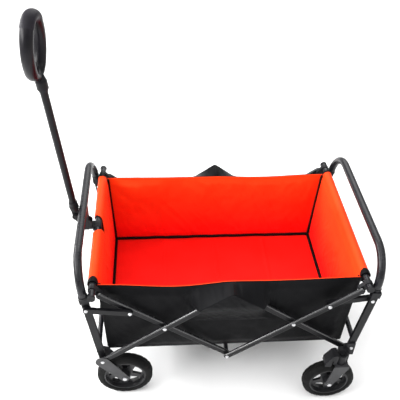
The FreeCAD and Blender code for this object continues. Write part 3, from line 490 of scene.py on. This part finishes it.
def make_bars():
    foot, top = JOINT_AT["fold"], JOINT_AT["top_hinge"]
    bottom = Vector((top.x, 0, foot.z))
    pivot = JOINT_AT["front_rim_hinge"]
    for end in ENDS:
        for side in SIDES:
            for kind, one, two, body in (("foot_bar", foot, top, f"{end}_foot_bars"),
                                         ("rim_bar", bottom, pivot, f"{end}_rim_bars")):
                node = f"{end}_{side}_{kind}"
                tips = (one, two) if end == "front" else (rear_of(one), rear_of(two))
                bar = stadium(node + "_flat", *tips, BAR_WIDTH / 2, BAR_WIDTH / 2,
                              mid_y(node), BAR_THICK, "bar", EDGE_ROUND)
                paint_edge_highlights(bar)
                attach(bar, body)
                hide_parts(node)


def join(name, pieces):
    """Join mesh objects that share a material into the first one."""
    work = bmesh.new()
    for piece in pieces:
        work.from_mesh(piece.data)
    first = pieces[0]
    work.to_mesh(first.data)
    work.free()
    for piece in pieces[1:]:
        bpy.data.objects.remove(piece)
    first.name = name
    for face in first.data.polygons:
        face.use_smooth = True
    return first


# ---- the basket -------------------------------------------------------------------------------

CLOTH = 0.0009
FLOOR = 0.1915
UNDER = 0.1883
RIM_Z = 0.4835
WALL_Y = 0.2495
SHELL_Y = 0.2522
SHELL_LIMIT_Y = 0.2705  # further out the shell would touch the bars
FOOT_X = 0.3747
TOP_X = 0.3875
BAR_X = JOINT_AT["front_rim_hinge"].x - 0.020
BAR_Z = JOINT_AT["front_rim_hinge"].z + 0.016
SLEEVE = 0.0137
SAG = {("left", "front"): 0.015, ("left", "rear"): 0.003,
       ("right", "front"): 0.002, ("right", "rear"): 0.007}
HEM_OVERLAP = 0.0003


def edge_x(z):
    """How far from the middle the wall's upright edges are at a height."""
    return FOOT_X + (TOP_X - FOOT_X) * (z - FLOOR) / (RIM_Z - FLOOR)


def rim_height(side, x):
    """The height of the hem, which sags between the corners and the middle pivot."""
    along = min(abs(x) / TOP_X, 1.0)
    end = "front" if x < 0 else "rear"
    return RIM_Z - SAG[side, end] * math.sin(math.pi * along ** 0.8) ** 2 - 0.002 * (1 - along)


def shell_y(side, x, z):
    """How far out the black shell lies: slack cloth that bellies between its sewn edges."""
    top = rim_height(side, x) + HEM_OVERLAP
    v = (z - UNDER) / (top - UNDER)
    u = 0.5 + x / (2 * (edge_x(z) + 0.001))
    slack = 0.5 + 0.5 * crease(x, z, 22.5 + SIDES[side])
    belly = 0.006 * math.sin(math.pi * v) * ease(min(u, 1 - u) / 0.15)
    out = (0.0085 * max(slack, 0) + belly) * open_cloth(u, v)
    return min(SHELL_Y + 0.0008 + out, SHELL_LIMIT_Y)


def with_fold(piece):
    """A sewn piece that spans the frame: it rides the front rim and gets its own copy of its mesh."""
    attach(piece, "front_rim")
    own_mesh(piece)


def make_side(side):
    sign = SIDES[side]
    seed = 2.5 + sign
    panel_share = 0.94

    def inside(u, v):
        x_turn = (u - 0.5) * 2
        top = rim_height(side, x_turn * TOP_X)
        rows = min(v / panel_share, 1.0)
        z = FLOOR + (top - FLOOR) * rows
        x = x_turn * edge_x(z)
        y = WALL_Y + 0.0085 * min(crease(x, z, seed) - 0.8, 0) * open_cloth(u, rows)
        if v > panel_share:
            # the lining turns over and is sewn to the shell's top edge
            turn = (v - panel_share) / (1 - panel_share)
            y = WALL_Y + 0.0016 * ease(turn * 1.3)
            z = top - 0.0004 * ease(turn * 1.3) - 0.0010 * ease(turn * 2 - 1)
        return Vector((x, sign * y, z))

    def outside(u, v):
        x_turn = (u - 0.5) * 2
        top = rim_height(side, x_turn * TOP_X) + HEM_OVERLAP
        z = UNDER + (top - UNDER) * v
        x = x_turn * (edge_x(z) + 0.001)
        return Vector((x, sign * shell_y(side, x, z), z))

    lining = grid(f"{side}_lining", 150, 64, inside, "orange_side", CLOTH)
    shell = grid(f"{side}_shell", 170, 70, outside, "black_side", CLOTH)
    for piece, slot in ((lining, "orange_fabric"), (shell, "black_fabric")):
        with_fold(piece)
    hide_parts(f"{side}_side_wall")


def end_profile():
    """The end wall's section as (distance out from the middle, height): up the panel, then over
    the crossbar and down its far side."""
    points = [(FOOT_X, FLOOR), (FOOT_X + 0.0012, FLOOR + 0.06), (FOOT_X + 0.003, FLOOR + 0.13),
              (FOOT_X + 0.0055, FLOOR + 0.2), (0.3832, 0.460)]
    for step in range(13):
        a = math.radians(178 - 19 * step)
        points.append((-BAR_X + SLEEVE * math.cos(a), BAR_Z + SLEEVE * math.sin(a)))
    return points


def along_profile(points, v):
    """The point at a share v of a polyline's length."""
    lengths = [math.dist(a, b) for a, b in zip(points, points[1:])]
    want = v * sum(lengths)
    for (a, b), length in zip(zip(points, points[1:]), lengths):
        if want <= length:
            t = want / length
            return a[0] + (b[0] - a[0]) * t, a[1] + (b[1] - a[1]) * t
        want -= length
    return points[-1]


NOTCH_START = 0.750
NOTCH_SPREAD = 0.22
NOTCH_HALF = 0.036


def notch(y, v):
    """True inside the V-shaped notch that the handle bracket's cradle comes through. It starts
    on the panel's inner face and widens over the sleeve."""
    return abs(y) < min((v - NOTCH_START) * NOTCH_SPREAD, NOTCH_HALF)


def across_end(u, half):
    """The distance along Y at a share of the width, finer near the notch in the middle."""
    t = (u - 0.5) * 2
    return half * (0.25 * t + 0.75 * t ** 3)


def make_end(end):
    way = ENDS[end]
    inner = end_profile()
    under = [(FOOT_X + 0.0032, UNDER), (FOOT_X + 0.006, 0.30), (0.3868, 0.4585), (0.3935, 0.4655),
             (0.4065, 0.4675)]
    seed = 8.5 + way

    def panel(points, depth, half):
        def place(u, v):
            out, z = along_profile(points, v)
            y = across_end(u, half)
            slack = ease(min(u, 1 - u) / 0.1) * ease(v / 0.15) * ease((0.72 - v) / 0.2)
            out -= depth * max(crease(y * 1.3, z, seed) + 0.6, 0) * slack
            return Vector((way * out, y, z))
        return place

    def keep_lining(u, v):
        return end == "rear" or not notch(across_end(u, WALL_Y), v)

    lining = grid(f"{end}_lining", 160, 150, panel(inner, 0.0048, WALL_Y), "orange_end", CLOTH,
                  keep_lining)
    shell = grid(f"{end}_shell", 160, 70, panel(under, 0, WALL_Y + 0.001), "black_end", CLOTH)
    for piece, slot in ((lining, "orange_fabric"), (shell, "black_fabric")):
        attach(piece, f"{end}_rim")
    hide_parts(f"{end}_end_wall")


FOLD_LINES = (-0.187, 0.0, 0.187)
FOLD_LINE_WIDTH = 0.006


def make_floor():
    half_y = WALL_Y - 0.0005

    def place(z0, depth, seed):
        def point(u, v):
            x, y = (u - 0.5) * 2 * FOOT_X, (v - 0.5) * 2 * half_y
            fade = ease(min(u, 1 - u) / 0.05) * ease(min(v, 1 - v) / 0.05)
            lift = 0.0006 + depth * (0.5 + 0.5 * noise.noise(Vector((x * 8, y * 8, seed)))) * fade
            for line in FOLD_LINES:
                lift += depth * 0.9 * math.exp(-((x - line) / FOLD_LINE_WIDTH) ** 2) * fade
            return Vector((x, y, z0 + lift))
        return point

    floor = grid("floor_lining", 220, 80, place(FLOOR - 0.001, 0.0016, 4.0), "orange_floor", CLOTH)
    under = grid("floor_shell", 60, 40, place(UNDER - 0.0006, 0.0004, 6.0), "black_floor", CLOTH)
    for piece, slot in ((floor, "orange_fabric"), (under, "black_fabric")):
        with_fold(piece)
    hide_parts("basket_floor")


PIPE = 0.0054
PIPE_INSET = 0.0036


def make_piping():
    """Black binding sewn over the four upright corners and round the floor."""
    inset = PIPE_INSET
    for side, sign in SIDES.items():
        for end, way in ENDS.items():
            points = []
            for step in range(25):
                z = FLOOR + 0.002 + (rim_height(side, way * TOP_X) - 0.006 - FLOOR) * step / 24
                points.append(Vector((way * (edge_x(z) - inset), sign * (WALL_Y - inset), z)))
            piping = tube_along(f"{end}_{side}_corner_piping", points, PIPE, "piping")
            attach(piping, f"{end}_rim")
        points = []
        for step in range(91):
            along = 2 * step / 90 - 1
            sway = 0.0022 * noise.noise(Vector((along * 5, sign, 0.4))) * ease((1 - abs(along)) * 12)
            points.append(Vector((along * (FOOT_X - inset), sign * (WALL_Y - inset + sway),
                                  FLOOR + 0.0035 + 1.6 * abs(sway))))
        piping = tube_along(f"{side}_floor_piping", points, PIPE, "piping")
        with_fold(piping)
    for end, way in ENDS.items():
        points = [Vector((way * (FOOT_X - inset - 0.001), (2 * s / 40 - 1) * (WALL_Y - inset),
                          FLOOR + 0.003 + 0.0006 * math.sin(s * 1.1))) for s in range(41)]
        piping = tube_along(f"{end}_floor_piping", points, PIPE, "piping")
        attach(piping, f"{end}_rim")


POCKET_FOOT = 0.325
POCKET_OUT = 0.0570
POCKET_HALF = 0.135
POCKET_MOUTH = 0.122
POCKET_FRONT = 0.7  # the share of the panel that is its front, below the ridge
RIDGE_RISE = 0.0145
BAR_SLOPE = math.tan(math.radians(37.2))


def make_pockets():
    """Outside each long wall a panel of cloth is sewn over the bars' upper ends at the middle
    pivot. It makes a ridge along their upper edges, and they come out at its sides."""
    pivot_z = JOINT_AT["top_hinge"].z
    for side, sign in SIDES.items():
        def place(u, v):
            x = (u - 0.5) * 2 * POCKET_HALF
            hem = rim_height(side, x) - 0.0012
            ridge = pivot_z + RIDGE_RISE - BAR_SLOPE * math.hypot(x, 0.004)
            if v < POCKET_FRONT:
                z = POCKET_FOOT + (ridge - POCKET_FOOT) * v / POCKET_FRONT
                out = ease((z - POCKET_FOOT) / 0.115)
            else:
                # near the middle the roof stays above the bars' round ends, then drops to the hem
                back = (v - POCKET_FRONT) / (1 - POCKET_FRONT)
                z = ridge + (hem - ridge) * back ** (1 + 4 * ease((0.030 - abs(x)) / 0.015))
                out = 1 - back
            slack = ease(min(u, 1 - u) / 0.1) * ease(min(v, 1 - v) / 0.08)
            out *= ease((POCKET_MOUTH - abs(x)) / 0.03)
            sway = 0.0030 * crease(x, z, 31 + sign, 1.6) * slack
            y = shell_y(side, x, min(z, hem)) * (1 - out) + (SHELL_Y + POCKET_OUT) * out + sway
            return Vector((x, sign * (y + 0.0012), z))

        pocket = grid(f"{side}_pocket", 120, 100, place, "black_side", CLOTH)
        with_fold(pocket)


PATCH_REACH = {"left": 0.016, "right": 0.004}


def make_corner_patches():
    """Black reinforcing patches over the sleeves' ends at the four top corners. They are cut to a
    point along the sleeve and hang a little way down outside the wall."""
    radius = SLEEVE + 0.0014
    for end, way in ENDS.items():
        for side, sign in SIDES.items():
            def wrap(u, v):
                a = math.radians(215 - 265 * v)
                reach = 0.004 + PATCH_REACH[side] * ease(1 - abs(v - 0.45) / 0.45)
                y = WALL_Y + 0.0016 - reach * (1 - u)
                return Vector((way * (-BAR_X + radius * math.cos(a)), sign * y,
                               BAR_Z + radius * math.sin(a)))

            def cap(u, v):
                # the closed end of the patch, drawn down to a rounded tongue
                a = 2 * math.pi * v
                drop = 0.012 * u * max(-math.sin(a), 0) ** 2
                out = 0.0016 + 0.003 * math.sin(math.pi * min(u * 1.2, 1))
                return Vector((way * (-BAR_X + radius * u * math.cos(a)),
                               sign * (WALL_Y + out * (1 - 0.5 * u)),
                               BAR_Z + radius * u * math.sin(a) - drop))

            def keep_ring(u, v):
                return u > 0.74

            patch = join(f"{end}_{side}_corner_patch", [
                grid("patch_wrap", 14, 48, wrap, "black_end", CLOTH),
                grid("patch_cap", 12, 48, cap, "black_end", CLOTH, keep_ring)])
            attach(patch, f"{end}_rim")


def make_stop():
    """The moulded stop on the front crossbar that fills the mouth of the handle's cradle."""
    radius, half = 0.0166, 0.0101
    steps = 24
    outline = [(radius * math.cos(math.pi * s / steps), radius * math.sin(math.pi * s / steps))
               for s in range(steps + 1)]
    near, far = ([Vector((BAR_X + x, y, BAR_Z + 0.001 + z)) for y, z in outline]
                 for x in (-half, half))
    stop = prism("crossbar_stop", near, far, "plastic", 0.0014)
    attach(stop, "front_rim")


HOUSING_FLANGE = 0.005
FOOT_RIVET = Vector((0.004, 0, 0.027))
LINK_ARM = 0.126


def make_rivet_heads():
    """Domed rivet heads on broad collars: one on each rear housing, where it holds the leg, and one
    on each rear rim bar, where the link behind it is pinned."""
    profile = [(0.0062, 0), (0.0062, 0.0009), (0.0050, 0.0014), (0.0047, 0.0024), (0.0036, 0.0034),
               (0.0019, 0.0040), (0, 0.0042)]
    steps = 24
    hinge, crossing = JOINT_AT["rear_foot_hinge"], JOINT_AT["rear_crossing"]
    along_bar = (JOINT_AT["rear_rim_hinge"] - crossing).normalized() * LINK_ARM
    leg_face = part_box("rear_lower_legs")[1][1] + HOUSING_FLANGE
    bar_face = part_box("rear_right_rim_bar")[1][1]
    for side, sign in SIDES.items():
        for name, body, place, face in (
                ("foot", "rear_end", hinge + FOOT_RIVET, leg_face),
                ("link", "rear_rim_bars", crossing + along_bar, bar_face)):
            centre = place + Vector((0, sign * face, 0))
            points = [centre + Vector((r * math.cos(2 * math.pi * s / steps), sign * out,
                                       r * math.sin(2 * math.pi * s / steps)))
                      for r, out in profile for s in range(steps)]
            head = add_mesh(f"rear_{side}_{name}_rivet_head", points,
                            ring_faces(len(profile), steps), "steel")
            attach(head, body)


# ---- wheels -----------------------------------------------------------------------------------

TREAD_CUT = 0.0012


def make_tyres():
    """Tyres with rounded shoulders, a centre rib and shallow tread grooves."""
    for node in [n for n in NODES if n.endswith("_tyre")]:
        low, high = (Vector(c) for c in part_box(node))
        centre = (low + high) / 2
        radius = (high.z - low.z) / 2
        half = (high.y - low.y) / 2
        seat = radius * 0.75
        profile = [(-half + 0.0035, seat), (-half + 0.001, seat + 0.002), (-half, seat + 0.006),
                   (-half, seat + 0.010), (-half + 0.0006, radius - 0.010),
                   (-half + 0.0022, radius - 0.0055), (-half + 0.0052, radius - 0.0022),
                   (-half + 0.0095, radius - 0.0006), (-half + 0.0125, radius),
                   (-half + 0.0135, radius - 0.0012), (-half + 0.0150, radius - 0.0012),
                   (-half + 0.0160, radius), (0, radius)]
        profile += [(-y, r) for y, r in reversed(profile[:-1])]
        steps = 144
        count = len(profile)
        points, faces = [], []
        for step in range(steps):
            a = 2 * math.pi * step / steps
            cut = TREAD_CUT if step % 6 < 2 else 0.0
            for index, (y, r) in enumerate(profile):
                edge = 5 <= index <= 7 or count - 8 <= index <= count - 6
                depth = r - (cut if edge else 0)
                points.append(centre + Vector((depth * math.sin(a), y, depth * math.cos(a))))
        for step in range(steps):
            for index in range(count):
                nxt = (index + 1) % count
                a, b = step * count, ((step + 1) % steps) * count
                faces.append((a + index, a + nxt, b + nxt, b + index))
        tyre = add_mesh(node + "_tread", points, faces, "tyre", 50)
        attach(tyre, node.replace("_tyre", "_wheel"))
        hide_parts(node)


# ---- light and floor --------------------------------------------------------------------------

WORLD_STRENGTH = 0.55
STAGE_HALF = 30
# name, place, what it points at, width, height, watts
LIGHTS = (("key", (-1.2, -1.6, 3.2), (0, 0, 0.3), 2.6, 2.6, 42),
          ("fill", (2.2, -1.8, 2.4), (0, 0, 0.3), 2.4, 2.4, 22),
          ("back", (0.3, 2.4, 2.6), (0, 0, 0.3), 2.6, 2.6, 50),
          ("side", (-2.1, 0.0, 1.5), (0.1, 0.0, 0.3), 3.4, 0.55, 90))


def make_stage():
    scene = bpy.context.scene
    scene.view_settings.view_transform = "Standard"
    world = bpy.data.worlds.new("studio")
    scene.world = world
    world.use_nodes = True
    back = world.node_tree.nodes["Background"]
    back.inputs["Color"].default_value = (1, 1, 1, 1)
    back.inputs["Strength"].default_value = WORLD_STRENGTH
    for name, place, aim, wide, tall, power in LIGHTS:
        light = bpy.data.lights.new(name, "AREA")
        light.shape = "RECTANGLE"
        light.size = wide
        light.size_y = tall
        light.energy = power
        lamp = bpy.data.objects.new(name, light)
        bpy.context.collection.objects.link(lamp)
        lamp.location = place
        lamp.rotation_euler = (Vector(aim) - Vector(place)).to_track_quat("-Z", "Y").to_euler()
    light = bpy.data.lights.new("sky", "SUN")
    light.energy = 1.5
    light.angle = math.radians(80)
    lamp = bpy.data.objects.new("sky", light)
    bpy.context.collection.objects.link(lamp)
    lamp.rotation_euler = (math.radians(-12), math.radians(-14), 0)
    shader = Shader("pale_floor")
    shader.colour(shader.ramp(shader.noise(3), (0.9, 0.9, 0.9), (0.93, 0.93, 0.93)))
    shader.constant(Roughness=0.9, Specular_IOR_Level=0.1)
    MATERIAL["stage"] = shader.material
    corners = [(STAGE_HALF * x, STAGE_HALF * y, 0) for x, y in ((-1, -1), (1, -1), (1, 1), (-1, 1))]
    floor = add_mesh("floor", corners, [(0, 1, 2, 3)], "stage")


make_camera()
dress_nodes()
make_bars()
for SIDE in SIDES:
    make_side(SIDE)
for END in ENDS:
    make_end(END)
make_floor()
make_piping()
make_pockets()
make_corner_patches()
make_stop()
make_rivet_heads()
make_tyres()
make_stage()
